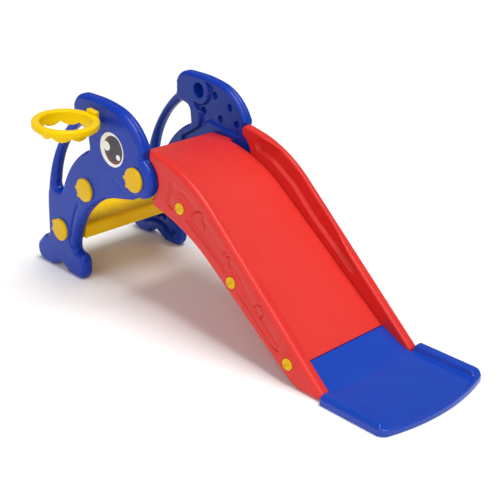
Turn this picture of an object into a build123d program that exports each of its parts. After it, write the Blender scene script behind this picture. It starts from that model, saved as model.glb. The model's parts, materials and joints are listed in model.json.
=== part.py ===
"""Toddler slide with two fish-shaped side panels, two steps, a slide bed with side rails, an exit tray
and a small ball hoop.

Frame, in millimetres: +X runs down the slide, +Y is the side without the hoop, +Z is up. The origin is
on the floor, on the middle plane, under the centre of the exit tray's flat underside.
"""

import os
from math import atan, cos, dist, radians, sin

from build123d import *

os.makedirs("parts", exist_ok=True)

# ---------------------------------------------------------------- driving dimensions
panel_thickness = 36.0
panel_inner = 157.0  # half the gap between the two panels
panel_outer = panel_inner + panel_thickness
panel_edge_round = 8.0

bed_half_width = 144.0
bed_thickness = 32.0
deck_half_width = 156.5
deck_height = 400.0
deck_thickness = 52.0
deck_back = -833.0
deck_wide_front = -750.0  # forward of this the bed is as narrow as the chute
bed_bend = -653.0  # where the deck's and the chute's straight lines meet
bed_bend_round = 400.0
bed_under_round = 360.0
bed_foot = (-188.0, 52.0)  # the chute's lower end, at its top surface

rail_thickness = 30.0
rail_inner = 144.5

tray_half_width = 184.0
tray_floor = 13.0
tray_back = -95.0
tray_corner = 88.0
tray_front = 118.0
tray_slope_foot = -104.4
tray_lip_height = 18.0
tray_lip_width = 8.0
tray_shoulder_height = 10.0
tray_wall_height = 28.0
tray_wall_outer_top = 174.0
tray_wall_inner_top = 156.0
tray_wall_inner_foot = 146.0
tray_slope_round = 80.0
tray_under_round = 15.0
tray_overlap = 10.0  # how far the slope's block reaches into the plate
tongue_thickness = 8.0
tongue_reach = 50.0  # how far the tray's tongue runs up under the bed
tongue_gap = 0.4
tongue_corner_rounds = (3.0, 2.0)  # under and upper corner of its end
tray_screw_up = 28.0  # along the tongue from the bed's foot
tray_screw_half_gap = 90.0
tray_screw_grip = 20.0  # how far a screw goes into the bed

knob_radius = 32.5
knob_thickness = 9.0
knob_gap = 0.3
knob_shank_radius = 11.0
panel_bore_radius = 11.6
socket_bore_radius = 11.06
shank_depth = 30.0  # how far a knob's shank reaches past the panel's inner face
socket_depth = 33.0

# (x, z, turn of the grip lugs in degrees) of the three knobs on each panel
knobs = {
    "low": (-1080.0, 131.0, -30.0),
    "middle": (-950.0, 285.0, 0.0),
    "snout": (-733.0, 371.0, 0.0),
}

step_width = 136.0
step_thickness = 43.0
step_centre_above_bolt = 3.5
steps = {"lower_step": ("low", 3.0), "upper_step": ("middle", -8.0)}  # knob, shift along X

hoop_socket = (-888.0, 505.0)  # x, z of the hoop's peg
hoop_tilt = 5.4  # the hoop is turned on its peg, its slide side down
hoop_outer_radius = 85.5
hoop_inner_radius = 64.6
hoop_rim_height = 18.0
hoop_skirt_depth = 37.0
hoop_lobes = 8
hoop_reach = 89.0  # from the panel's face to the ring's centre
hoop_top_above_peg = 6.0
peg_radius = 9.95
peg_bore_radius = 10.0
socket_mouth_radius = 22.0
socket_cup_depth = 28.0
nut_gap = 0.4

rail_screw_spots = {"upper": (-580.0, 333.0), "middle": (-397.0, 198.0), "lower": (-205.0, 57.0)}
screw_shank_radius = 3.5
screw_hole_radius = 3.6
screw_head_radius = 15.0
screw_reach = 22.0  # past the rail's inner face
screw_hole_spare = 2.0  # a screw's hole is this much deeper than the screw

eye_centre = (-823.0, 428.0)
eye_radii = (48.5, 45.5)
sticker_thickness = 0.5

deck_edge_round = 8.0
socket_boss_outer = 18.0
dimple_radius = 9.5
dimple_depth = 12.0
dimple_taper = 14.0
socket_cup_taper = 12.0
rail_edge_round = 6.0
nose_round = 7.0
screw_ring_outer = 26.0
screw_ring_inner = 17.0
screw_ring_height = 1.5
screw_head_height = 4.5
screw_head_round = 1.5
coin_slot_length = 21.0
coin_slot_width = 3.2
coin_slot_depth = 2.0
coin_slot_turn = 35.0
tray_lip_inner = 150.0
tray_wall_length = 172.0
tray_lip_back = 0.0  # behind this the front lip is left out
tray_corner_round = 24.0
tray_screw_pocket = 7.5
tray_screw_head_radius = 7.0
tray_screw_head = 3.0
step_edge_round = 9.0
lug_spread = 40.0
lug_size = 9.0
lug_round = 1.5
knob_edge_round = 2.5
lobe_radius = 36.5
skirt_wall = 4.0
skirt_top_radius = 65.1  # inner radius of the skirt at the rim and at its lowest
skirt_foot_radius = 60.6
rim_edge_round = 7.0
bracket_width = 36.0
bracket_height = 33.0
bracket_centre_z = -7.0
bracket_depth = 14.0
bracket_edge_round = 2.5
peg_past_panel = 9.0
nut_head_radius = 19.0
nut_head_height = 8.0

# ---------------------------------------------------------------- outlines in the XZ plane
# Each corner is (x, z, radius of its rounding), and the outline is the straight runs and tangent arcs.
panel_outline = [
    (-993.0, 549.5, 54.0),  # back of the crown
    (-860.0, 549.5, 400.0),  # crown
    (-741.0, 528.5, 150.0),  # forehead
    (-700.0, 452.0, 14.0),  # brow
    (-709.0, 428.0, 10.0),  # notch over the snout
    (-671.6, 401.6, 52.0),  # snout, upper
    (-671.6, 321.0, 52.0),  # snout, lower
    (-737.0, 321.0, 20.0),  # lip
    (-756.0, 307.5, 25.0),  # jaw
    (-983.0, 257.0, 260.0),  # belly arch
    (-1027.0, 80.0, 10.0),  # front ankle
    (-983.0, 73.5, 24.0),  # front toe
    (-983.0, 0.0, 30.0),  # front sole
    (-1058.0, 0.0, 30.0),
    (-1098.0, 25.0, 14.0),  # arch between the feet
    (-1142.0, 0.0, 40.0),  # back sole
    (-1215.0, 0.0, 34.0),
    (-1215.0, 50.0, 30.0),  # back heel
    (-1178.0, 86.0, 60.0),
    (-1150.5, 95.0, 10.0),  # back ankle
    (-1138.0, 356.0, 400.0),  # outside of the handle
    (-991.5, 479.5, 18.0),  # handle meets the crown
]
handle_opening = [
    (-1104.0, 245.0, 12.0),
    (-1071.0, 388.0, 260.0),
    (-971.0, 459.0, 20.0),
    (-933.0, 452.0, 22.0),
    (-928.0, 403.0, 8.0),
    (-1013.0, 359.5, 260.0),
    (-1073.0, 247.0, 10.0),
]
inner_recess = [
    (-968.0, 341.0, 6.0),  # end of the channel that runs down beside the bed
    (-962.0, 357.0, 6.0),
    (-924.0, 379.0, 40.0),
    (-886.0, 405.0, 25.0),
    (-886.0, 438.0, 25.0),
    (-908.0, 462.0, 8.0),
    (-862.0, 535.0, 12.0),  # crown
    (-748.0, 514.0, 110.0),
    (-717.0, 446.0, 12.0),
    (-727.0, 409.0, 10.0),
    (-790.0, 415.0, 60.0),  # along the top of the bed
    (-850.0, 426.0, 12.0),
    (-871.0, 410.0, 14.0),
    (-915.0, 362.0, 30.0),
    (-950.0, 338.0, 6.0),
]
recess_depth = 10.0
socket_boss_radius = 40.0
dimples = [(-831.0, 500.0), (-771.0, 478.0), (-878.0, 448.0), (-809.0, 438.0), (-745.0, 436.0)]
rail_outline = [
    (-702.0, 454.0, 14.0),  # upper nose
    (-550.0, 424.0, 363.0),
    (-98.0, 18.0, 6.0),  # lower end
    (-98.0, 0.0, 4.0),
    (-188.0, 0.0, 80.0),
    (-562.5, 280.3, 500.0),
    (-692.0, 308.0, 9.0),  # lower nose
]
snout_centre = (-724.6, 374.0)
snout_relief_radius = 55.5  # the rail's end is hollowed to go round the panel's snout


def outline(corners):
    """Draw a closed run of lines and tangent arcs in the current line builder."""
    FilletPolyline(*[(x, z) for x, z, _ in corners], radius=[r for _, _, r in corners], close=True)


def plane_at_y(y):
    """XZ drawing plane at that y: local x is X, local y is Z, and extrusions go towards -Y."""
    return Plane.XZ.offset(-y)


def save(piece, name):
    piece.part.label = name
    export_step(piece.part, f"parts/{name}.step")


# ---------------------------------------------------------------- side panels
# A rounded plate with a handle opening. Its inner face has a recessed field with five dimples, a boss
# round the hoop socket, and bores for three knobs.
with BuildPart() as hoop_side_panel:
    with BuildSketch(plane_at_y(-panel_inner)):
        with BuildLine():
            outline(panel_outline)
        make_face()
    extrude(amount=panel_thickness)
    with BuildSketch(plane_at_y(-panel_inner)):
        with BuildLine():
            outline(handle_opening)
        make_face()
    extrude(amount=panel_thickness, mode=Mode.SUBTRACT)
    fillet(hoop_side_panel.faces().filter_by(Axis.Y).edges(), panel_edge_round)
    with BuildSketch(plane_at_y(-panel_inner)):
        with BuildLine():
            outline(inner_recess)
        make_face()
        with Locations(hoop_socket):
            Circle(socket_boss_radius, mode=Mode.SUBTRACT)
    extrude(amount=recess_depth, mode=Mode.SUBTRACT)
    with BuildSketch(plane_at_y(-panel_inner - recess_depth)):
        with Locations(*dimples):
            Circle(dimple_radius)
    extrude(amount=dimple_depth, taper=dimple_taper, mode=Mode.SUBTRACT)
    with BuildSketch(plane_at_y(-panel_inner)):
        with Locations(*[(x, z) for x, z, _ in knobs.values()]):
            Circle(panel_bore_radius)
        with Locations(hoop_socket):
            Circle(peg_bore_radius)
    extrude(amount=panel_thickness, mode=Mode.SUBTRACT)
    with BuildSketch(plane_at_y(-panel_inner)):
        with Locations(hoop_socket):
            Circle(socket_mouth_radius)
    extrude(amount=socket_cup_depth, taper=socket_cup_taper, mode=Mode.SUBTRACT)
save(hoop_side_panel, "hoop_side_panel")

with BuildPart() as plain_side_panel:
    mirror(hoop_side_panel.part, about=Plane.XZ)
save(plain_side_panel, "plain_side_panel")

# ---------------------------------------------------------------- slide bed
# A double-walled slab: a level deck that spans the panels, then a straight chute down to the tray.
chute_fall = (deck_height - bed_foot[1]) / (bed_foot[0] - bed_bend)  # drop per millimetre of X
chute_angle = atan(chute_fall)
foot_under = (bed_foot[0] - bed_thickness * sin(chute_angle), bed_foot[1] - bed_thickness * cos(chute_angle))
deck_under = deck_height - deck_thickness
bend_under = foot_under[0] - (deck_under - foot_under[1]) / chute_fall
snout_x, snout_z, _ = knobs["snout"]

# Directions up the chute and out of its underside, and the tongue's lower face at the bed's foot.
up_chute = Vector(-cos(chute_angle), 0.0, sin(chute_angle))
under_chute = Vector(-sin(chute_angle), 0.0, -cos(chute_angle))
bed_foot_under = Vector(foot_under[0], 0.0, foot_under[1])
tongue_plane = Plane(
    origin=bed_foot_under + under_chute * (tongue_gap + tongue_thickness) + up_chute * tray_screw_up,
    x_dir=(0.0, 1.0, 0.0),
    z_dir=-under_chute,
)
tray_screw_spots = [(-tray_screw_half_gap, 0.0), (tray_screw_half_gap, 0.0)]

with BuildPart() as slide_bed:
    with BuildSketch(plane_at_y(bed_half_width)):
        with BuildLine():
            FilletPolyline(
                (deck_back, deck_height),
                (bed_bend, deck_height),
                bed_foot,
                foot_under,
                (bend_under, deck_under),
                (deck_back, deck_under),
                radius=[deck_edge_round, bed_bend_round, 0.0, 0.0, bed_under_round, deck_edge_round],
                close=True,
            )
        make_face()
    extrude(amount=2 * bed_half_width)
    with BuildSketch(plane_at_y(deck_half_width)):
        with BuildLine():
            FilletPolyline(
                (deck_back, deck_height),
                (deck_wide_front, deck_height),
                (deck_wide_front, deck_under),
                (deck_back, deck_under),
                radius=[deck_edge_round, 0.0, 0.0, deck_edge_round],
                close=True,
            )
        make_face()
    extrude(amount=2 * deck_half_width)
    with BuildSketch(plane_at_y(deck_half_width)):
        with Locations((snout_x, snout_z)):
            Circle(socket_boss_outer)
    extrude(amount=2 * deck_half_width)
    for side in (-1, 1):
        with BuildSketch(plane_at_y(side * deck_half_width)):
            with Locations((snout_x, snout_z)):
                Circle(socket_bore_radius)
        extrude(amount=side * socket_depth, mode=Mode.SUBTRACT)
        with BuildSketch(plane_at_y(side * bed_half_width)):
            with Locations(*rail_screw_spots.values()):
                Circle(screw_hole_radius)
        extrude(amount=side * (screw_reach + screw_hole_spare), mode=Mode.SUBTRACT)
    with BuildSketch(tongue_plane):
        with Locations(*tray_screw_spots):
            Circle(screw_hole_radius)
    extrude(amount=tongue_thickness + tray_screw_grip + screw_hole_spare, mode=Mode.SUBTRACT)
save(slide_bed, "slide_bed")

# ---------------------------------------------------------------- side rails
# A deep plate along each edge of the chute. Its upper end is hollowed round the panel's snout, its
# lower end stands on the floor, and a raised ring surrounds each screw.
with BuildPart() as hoop_side_rail:
    with BuildSketch(plane_at_y(-rail_inner)):
        with BuildLine():
            outline(rail_outline)
        make_face()
        with Locations(snout_centre):
            Circle(snout_relief_radius, mode=Mode.SUBTRACT)
    extrude(amount=rail_thickness)
    on_relief = hoop_side_rail.edges().filter_by(Axis.Y).filter_by(
        lambda edge: abs(dist((edge.center().X, edge.center().Z), snout_centre) - snout_relief_radius) < 0.01
    )
    fillet(on_relief, nose_round)
    fillet(hoop_side_rail.faces().filter_by(Axis.Y).edges(), rail_edge_round)
    with BuildSketch(plane_at_y(-rail_inner - rail_thickness)):
        with Locations(*rail_screw_spots.values()):
            Circle(screw_ring_outer)
            Circle(screw_ring_inner, mode=Mode.SUBTRACT)
    extrude(amount=screw_ring_height)
    with BuildSketch(plane_at_y(-rail_inner)):
        with Locations(*rail_screw_spots.values()):
            Circle(screw_hole_radius)
    extrude(amount=rail_thickness, mode=Mode.SUBTRACT)
save(hoop_side_rail, "hoop_side_rail")

with BuildPart() as plain_side_rail:
    mirror(hoop_side_rail.part, about=Plane.XZ)
save(plain_side_rail, "plain_side_rail")

# ---------------------------------------------------------------- exit tray
# A plate on the floor with a raised rim. Its back rises to the chute's end and goes on as a tongue under
# the bed.
tongue_root = bed_foot_under + under_chute * tongue_gap
tongue_end = tongue_root + up_chute * tongue_reach
tongue_end_under = tongue_end + under_chute * tongue_thickness
tongue_meets_floor = tongue_end_under.X + tongue_end_under.Z / chute_fall
side_wall = [
    (tray_half_width, 0.0),
    (tray_half_width, tray_shoulder_height),
    (tray_wall_outer_top, tray_wall_height),
    (tray_wall_inner_top, tray_wall_height),
    (tray_wall_inner_foot, tray_floor),
    (tray_wall_inner_foot, 0.0),
]

with BuildPart() as exit_tray:
    with BuildSketch(Plane.XY):
        with BuildLine():
            Polyline((tray_corner, -tray_half_width), (tray_back, -tray_half_width),
                     (tray_back, tray_half_width), (tray_corner, tray_half_width))
            ThreePointArc((tray_corner, -tray_half_width), (tray_front, 0.0), (tray_corner, tray_half_width))
        make_face()
    extrude(amount=tray_floor)
    with BuildSketch(Plane.XY.offset(tray_floor)):
        with BuildLine():
            Polyline((tray_corner, -tray_half_width), (tray_lip_back, -tray_half_width),
                     (tray_lip_back, tray_half_width), (tray_corner, tray_half_width))
            ThreePointArc((tray_corner, -tray_half_width), (tray_front, 0.0), (tray_corner, tray_half_width))
        make_face()
        with BuildLine():
            lip_corner, lip_front = tray_corner - tray_lip_width, tray_front - tray_lip_width
            Polyline((lip_corner, -tray_lip_inner), (tray_lip_back - 1.0, -tray_lip_inner),
                     (tray_lip_back - 1.0, tray_lip_inner), (lip_corner, tray_lip_inner))
            ThreePointArc((lip_corner, -tray_lip_inner), (lip_front, 0.0), (lip_corner, tray_lip_inner))
        make_face(mode=Mode.SUBTRACT)
    extrude(amount=tray_lip_height - tray_floor)
    for side in (-1, 1):
        with BuildSketch(Plane.YZ.offset(tray_back)):
            with BuildLine():
                Polyline(*[(side * y, z) for y, z in side_wall], close=True)
            make_face()
        extrude(amount=tray_wall_length)
    upright = exit_tray.edges().filter_by(Axis.Z)
    fillet(upright.group_by(Axis.X)[-1], tray_corner_round)
    with BuildSketch(plane_at_y(bed_half_width)):
        with BuildLine():
            FilletPolyline(
                (tongue_end_under.X, tongue_end_under.Z),
                (tongue_end.X, tongue_end.Z),
                (tongue_root.X + tongue_gap, tongue_root.Z),
                (bed_foot[0] + tongue_gap, bed_foot[1]),
                (tray_slope_foot, tray_floor),
                (tray_back + tray_overlap, tray_floor),
                (tray_back + tray_overlap, 0.0),
                (tongue_meets_floor, 0.0),
                radius=[*tongue_corner_rounds, 0.0, 0.0, tray_slope_round, 0.0, 0.0, tray_under_round],
                close=True,
            )
        make_face()
    extrude(amount=2 * bed_half_width)
    with BuildSketch(tongue_plane):
        with Locations(*tray_screw_spots):
            Circle(tray_screw_pocket)
    extrude(amount=tray_screw_head, mode=Mode.SUBTRACT)
    with BuildSketch(tongue_plane):
        with Locations(*tray_screw_spots):
            Circle(screw_hole_radius)
    extrude(amount=2 * tongue_thickness, mode=Mode.SUBTRACT)
save(exit_tray, "exit_tray")

# ---------------------------------------------------------------- steps
# A closed rounded plank between the panels, with a deep socket in each end for a knob's shank.
for name, (bolt, shift) in steps.items():
    bolt_x, bolt_z, _ = knobs[bolt]
    with BuildPart() as step:
        with BuildSketch(plane_at_y(panel_inner)):
            with Locations((bolt_x + shift, bolt_z + step_centre_above_bolt)):
                RectangleRounded(step_width, step_thickness, step_edge_round)
        extrude(amount=2 * panel_inner)
        for side in (-1, 1):
            with BuildSketch(plane_at_y(side * panel_inner)):
                with Locations((bolt_x, bolt_z)):
                    Circle(socket_bore_radius)
            extrude(amount=side * socket_depth, mode=Mode.SUBTRACT)
    save(step, name)

# ---------------------------------------------------------------- knobs
# A flat disc with two grip lugs on its rim, and a thick shank that goes through the panel.
for side_name, side in (("hoop_side", -1), ("plain_side", 1)):
    for place, (knob_x, knob_z, turn) in knobs.items():
        seat = plane_at_y(side * (panel_outer + knob_gap))
        with BuildPart() as knob:
            with BuildSketch(seat):
                with Locations((knob_x, knob_z)):
                    Circle(knob_radius)
            extrude(amount=-side * knob_thickness)
            fillet(knob.faces().sort_by(Axis.Y)[0 if side < 0 else -1].edges(), knob_edge_round)
            with BuildSketch(seat):
                with Locations((knob_x, knob_z)):
                    with PolarLocations(knob_radius, 2, start_angle=180.0 + turn, angular_range=lug_spread,
                                        endpoint=True):
                        RectangleRounded(lug_size, lug_size, lug_round)
            extrude(amount=-side * (knob_thickness - knob_edge_round))
            with BuildSketch(seat):
                with Locations((knob_x, knob_z)):
                    Circle(knob_shank_radius)
            extrude(amount=side * (knob_gap + panel_thickness + shank_depth))
        save(knob, f"{side_name}_{place}_knob")

# ---------------------------------------------------------------- ball hoop
# A rim with a scalloped skirt under it, a block that stands against the panel, and a peg.
tilt = radians(hoop_tilt)
hoop_up = Vector(sin(tilt), 0.0, cos(tilt))
hoop_right = Vector(cos(tilt), 0.0, -sin(tilt))
peg_at_face = Vector(hoop_socket[0], -panel_outer - knob_gap, hoop_socket[1])
hoop_centre = Vector(hoop_socket[0], -panel_outer - hoop_reach, hoop_socket[1])
hoop_centre += hoop_up * hoop_top_above_peg
hoop_level = Plane(origin=hoop_centre, x_dir=hoop_right, z_dir=hoop_up)
hoop_section = Plane(origin=hoop_centre, x_dir=hoop_right, z_dir=(0.0, -1.0, 0.0))
bracket_plane = Plane(
    origin=peg_at_face + hoop_up * hoop_top_above_peg, x_dir=hoop_right, z_dir=(0.0, -1.0, 0.0)
)
rim_middle = (hoop_inner_radius + hoop_outer_radius) / 2

with BuildPart(hoop_level) as lobes:
    with PolarLocations(0.0, hoop_lobes):
        Cylinder(lobe_radius, hoop_outer_radius, rotation=(0, 90, 0),
                 align=(Align.CENTER, Align.CENTER, Align.MIN))

with BuildPart() as ball_hoop:
    with BuildSketch(hoop_section):
        with BuildLine():
            Polyline(
                (skirt_top_radius, -hoop_rim_height / 2),
                (skirt_top_radius + skirt_wall, -hoop_rim_height / 2),
                (skirt_foot_radius + skirt_wall, -hoop_skirt_depth),
                (skirt_foot_radius, -hoop_skirt_depth),
                close=True,
            )
        make_face()
    revolve(axis=Axis(hoop_centre, hoop_up))
    add(lobes.part, mode=Mode.INTERSECT)
    with BuildSketch(hoop_section):
        with Locations((rim_middle, -hoop_rim_height / 2)):
            RectangleRounded(hoop_outer_radius - hoop_inner_radius, hoop_rim_height, rim_edge_round)
    revolve(axis=Axis(hoop_centre, hoop_up))
    with BuildSketch(bracket_plane):
        with Locations((0.0, bracket_centre_z)):
            RectangleRounded(bracket_width, bracket_height, bracket_edge_round)
    extrude(amount=bracket_depth)
    with BuildSketch(Plane(origin=peg_at_face, z_dir=(0.0, -1.0, 0.0))):
        Circle(peg_radius)
    extrude(amount=-(knob_gap + panel_thickness + peg_past_panel))
save(ball_hoop, "ball_hoop")

# The nut on the peg's inner end: a cone that sits in the socket's mouth, and a hexagonal head.
inner_face = Plane(
    origin=(hoop_socket[0], -panel_inner, hoop_socket[1]), x_dir=hoop_right, z_dir=(0.0, -1.0, 0.0)
)
with BuildPart() as hoop_lock_nut:
    with BuildSketch(inner_face):
        Circle(socket_mouth_radius - nut_gap)
    extrude(amount=socket_cup_depth - nut_gap, taper=socket_cup_taper)
    with BuildSketch(inner_face):
        RegularPolygon(nut_head_radius, 6)
    extrude(amount=-nut_head_height)
    with BuildSketch(inner_face.offset(-nut_head_height)):
        Circle(peg_bore_radius)
    extrude(amount=nut_head_height + socket_cup_depth, mode=Mode.SUBTRACT)
save(hoop_lock_nut, "hoop_lock_nut")

# ---------------------------------------------------------------- screws
# Coin-slotted screws that hold each rail to the edge of the bed.
for side_name, side in (("hoop_side", -1), ("plain_side", 1)):
    for place, spot in rail_screw_spots.items():
        seat = plane_at_y(side * (rail_inner + rail_thickness))
        with BuildPart() as rail_screw:
            with BuildSketch(seat):
                with Locations(spot):
                    Circle(screw_head_radius)
            extrude(amount=-side * screw_head_height)
            fillet(rail_screw.faces().sort_by(Axis.Y)[0 if side < 0 else -1].edges(), screw_head_round)
            with BuildSketch(plane_at_y(side * (rail_inner + rail_thickness + screw_head_height))):
                with Locations(Location((spot[0], spot[1], 0.0), coin_slot_turn)):
                    Rectangle(coin_slot_length, coin_slot_width)
            extrude(amount=side * coin_slot_depth, mode=Mode.SUBTRACT)
            with BuildSketch(seat):
                with Locations(spot):
                    Circle(screw_shank_radius)
            extrude(amount=side * (rail_thickness + screw_reach))
        save(rail_screw, f"{side_name}_rail_screw_{place}")

# Two screws go up through the tray's tongue into the bed.
with BuildPart() as tray_screws:
    with BuildSketch(tongue_plane):
        with Locations(*tray_screw_spots):
            Circle(tray_screw_head_radius)
    extrude(amount=tray_screw_head)
    with BuildSketch(tongue_plane):
        with Locations(*tray_screw_spots):
            Circle(screw_shank_radius)
    extrude(amount=tongue_thickness + tray_screw_grip)
save(tray_screws, "tray_screws")

# ---------------------------------------------------------------- eye stickers
for side_name, side in (("hoop_side", -1), ("plain_side", 1)):
    with BuildPart() as sticker:
        with BuildSketch(plane_at_y(side * panel_outer)):
            with Locations(eye_centre):
                Ellipse(*eye_radii)
        extrude(amount=-side * sticker_thickness)
    save(sticker, f"{side_name}_eye_sticker")
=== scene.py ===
"""Looks of the toddler slide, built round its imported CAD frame.

Lengths in this script are millimetres in the frame's axes (+X down the slide, +Y the side without the
hoop, +Z up) and become metres where a mesh is made. Most pieces are plates: an outline taken from a
section of the CAD node, and a height over it for each of the two faces.
"""

import json
from math import atan, cos, hypot, pi, radians, sin, sqrt, tan

import bmesh
import bpy
import numpy as np
from mathutils import Matrix, Vector, kdtree
from mathutils.geometry import delaunay_2d_cdt


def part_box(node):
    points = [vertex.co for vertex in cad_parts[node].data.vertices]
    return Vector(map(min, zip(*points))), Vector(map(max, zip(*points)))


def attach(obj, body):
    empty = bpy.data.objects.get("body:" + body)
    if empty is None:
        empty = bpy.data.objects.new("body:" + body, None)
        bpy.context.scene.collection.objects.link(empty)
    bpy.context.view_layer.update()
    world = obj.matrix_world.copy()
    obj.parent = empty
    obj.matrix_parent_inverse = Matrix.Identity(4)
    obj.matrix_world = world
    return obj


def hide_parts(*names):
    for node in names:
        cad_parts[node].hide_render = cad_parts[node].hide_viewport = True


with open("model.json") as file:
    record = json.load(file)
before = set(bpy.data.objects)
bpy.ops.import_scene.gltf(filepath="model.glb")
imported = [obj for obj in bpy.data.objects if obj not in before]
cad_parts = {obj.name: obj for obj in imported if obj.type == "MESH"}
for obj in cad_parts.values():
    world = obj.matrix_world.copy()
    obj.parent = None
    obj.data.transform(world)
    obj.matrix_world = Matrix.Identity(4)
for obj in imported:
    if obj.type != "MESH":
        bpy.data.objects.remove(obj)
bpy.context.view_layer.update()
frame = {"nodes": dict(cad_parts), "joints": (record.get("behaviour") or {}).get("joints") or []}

MM = 0.001
FAR_AWAY = 1e4
X, Y, Z = 0, 1, 2


# ---- measures of the frame
def span(node, axis):
    """Lowest and highest coordinate of a CAD node along an axis, in millimetres."""
    low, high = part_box(node)
    return low[axis] / MM, high[axis] / MM


def section(node, axis, at):
    """The closed loops where the plane axis = at cuts a CAD node, largest first, each an (n, 2) array."""
    cut = bmesh.new()
    cut.from_mesh(frame["nodes"][node].data)
    bmesh.ops.remove_doubles(cut, verts=cut.verts, dist=1e-6)
    origin, normal = Vector((0, 0, 0)), Vector((0, 0, 0))
    origin[axis], normal[axis] = at * MM, 1.0
    found = bmesh.ops.bisect_plane(
        cut, geom=cut.verts[:] + cut.edges[:] + cut.faces[:], dist=1e-8, plane_co=origin, plane_no=normal
    )["geom_cut"]
    neighbours = {}
    for edge in found:
        if isinstance(edge, bmesh.types.BMEdge):
            a, b = edge.verts
            neighbours.setdefault(a, []).append(b)
            neighbours.setdefault(b, []).append(a)
    kept = [k for k in (X, Y, Z) if k != axis]
    loops = []
    while neighbours:
        here = next(iter(neighbours))
        chain = []
        while here is not None:
            chain.append([here.co[k] / MM for k in kept])
            onward = neighbours.pop(here)
            here = next((v for v in onward if v in neighbours), None)
        if len(chain) > 2:
            loops.append(np.array(chain))
    cut.free()
    return sorted(loops, key=lambda loop: -abs(area(loop)))


def length(vectors):
    return np.linalg.norm(vectors, axis=1)


def area(loop):
    """Signed area inside a closed loop: positive if it runs anticlockwise."""
    x, y = loop.T
    return 0.5 * float(np.sum(x * np.roll(y, -1) - np.roll(x, -1) * y))


def holds(loop, point):
    """Whether a closed loop goes round a point."""
    ax, ay = (loop - point).T
    bx, by = np.roll(ax, -1), np.roll(ay, -1)
    crosses = (ay > 0) != (by > 0)
    reached = ax - ay * (bx - ax) / np.where(by == ay, 1, by - ay)
    return bool(np.sum(crosses & (reached > 0)) % 2)


def resample(loop, step):
    """The closed loop again, with its points about one step apart."""
    closed = np.vstack([loop, loop[:1]])
    run = np.r_[0, np.cumsum(length(np.diff(closed, axis=0)))]
    at = np.linspace(0, run[-1], max(12, round(run[-1] / step)), endpoint=False)
    return np.stack([np.interp(at, run, closed[:, k]) for k in (0, 1)], 1)


def wound(loop, anticlockwise):
    return loop if (area(loop) > 0) == anticlockwise else loop[::-1]


def softened_loop(points, step=2.0, reach=7):
    """A closed run of corners at even steps, each point averaged with its neighbours to round them."""
    loop = wound(resample(np.array(points, float), step), True)
    return np.mean([np.roll(loop, shift, axis=0) for shift in range(-reach, reach + 1)], axis=0)


def bordered(loops, step=2.0):
    """Evenly spaced loops with the material on their left: the first is the outside, the rest are holes."""
    return [wound(resample(loop, step), k == 0) for k, loop in enumerate(loops)]


# ---- distances
def smooth(t):
    t = np.clip(t, 0, 1)
    return t * t * (3 - 2 * t)


def rounded(distance, radius):
    """How far a surface with a rounded edge lies under its flat, at that distance in from the edge."""
    left = np.clip(1 - np.maximum(distance, 0) / radius, 0, 1)
    return radius * (1 - np.sqrt(1 - left**2))


class Border:
    """Closed loops with material on their left."""

    def __init__(self, loops):
        self.points = np.vstack(loops)
        counts = [len(loop) for loop in loops]
        self.loop = np.repeat(np.arange(len(loops)), counts)
        starts = np.r_[0, np.cumsum(counts)[:-1]]
        self.next = np.concatenate([s + np.roll(np.arange(c), -1) for s, c in zip(starts, counts)])
        self.previous = np.concatenate([s + np.roll(np.arange(c), 1) for s, c in zip(starts, counts)])
        along = self.points[self.next] - self.points[self.previous]
        inward = np.stack([-along[:, 1], along[:, 0]], 1)
        self.inward = inward / length(inward)[:, None]
        self.tree = tree_of(self.points)

    def nearest(self, points):
        """Distance inward (negative outside) and the index of the nearest border point, for each point."""
        index = nearest_in(self.tree, points)
        best = np.full(len(points), np.inf)
        offset = np.zeros((len(points), 2))
        for a, b in ((self.previous[index], index), (index, self.next[index])):
            start, run = self.points[a], self.points[b] - self.points[a]
            t = np.clip(np.sum((points - start) * run, 1) / np.sum(run * run, 1), 0, 1)
            away = points - start - run * t[:, None]
            far = length(away)
            closer = far < best
            best[closer], offset[closer] = far[closer], away[closer]
        side = np.sign(np.sum(offset * self.inward[index], 1))
        return best * np.where(side < 0, -1, 1), index


def tree_of(points):
    tree = kdtree.KDTree(len(points))
    for k, (u, v) in enumerate(points):
        tree.insert((u, v, 0), k)
    tree.balance()
    return tree


def nearest_in(tree, points, want=1):
    """For each point, the tree's index (want 1) or distance (want 2) of the nearest one."""
    return np.array([tree.find((u, v, 0))[want] for u, v in points.tolist()])


def curve_through(points, step=1.5):
    """A smooth run of points through the given ones."""
    p = np.array(points, float)
    p = np.vstack([2 * p[0] - p[1], p, 2 * p[-1] - p[-2]])
    out = []
    for a, b, c, d in zip(p, p[1:], p[2:], p[3:]):
        for t in np.linspace(0, 1, max(2, int(np.linalg.norm(c - b) / step)), endpoint=False):
            out.append(0.5 * (2 * b + (c - a) * t + (2 * a - 5 * b + 4 * c - d) * t**2
                              + (3 * b - a - 3 * c + d) * t**3))
    return np.vstack([out, p[-2]])


def from_curve(points, curve):
    """Distance to a curve, its side (+1 is left of its direction) and the share of its length reached."""
    starts, runs = curve[:-1], np.diff(curve, axis=0)
    best, side, share = np.full(len(points), np.inf), np.ones(len(points)), np.zeros(len(points))
    for k, (start, run) in enumerate(zip(starts, runs)):
        away = points - start
        t = np.clip(away @ run / (run @ run), 0, 1)
        away = away - t[:, None] * run
        far = length(away)
        closer = far < best
        best[closer] = far[closer]
        side[closer] = np.where(run[0] * away[:, 1] - run[1] * away[:, 0] >= 0, 1, -1)[closer]
        share[closer] = ((k + t) / len(runs))[closer]
    return best, side, share


# ---- plates
RING_ANGLES = [radians(a) for a in (12, 25, 38, 52, 68, 90)]  # rows of points round an edge
CLOSE_POINTS = 1e-5  # points nearer than this become one
SLIVER = 0.002  # a triangle whose middle is no deeper inside is a sliver along the border


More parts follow.
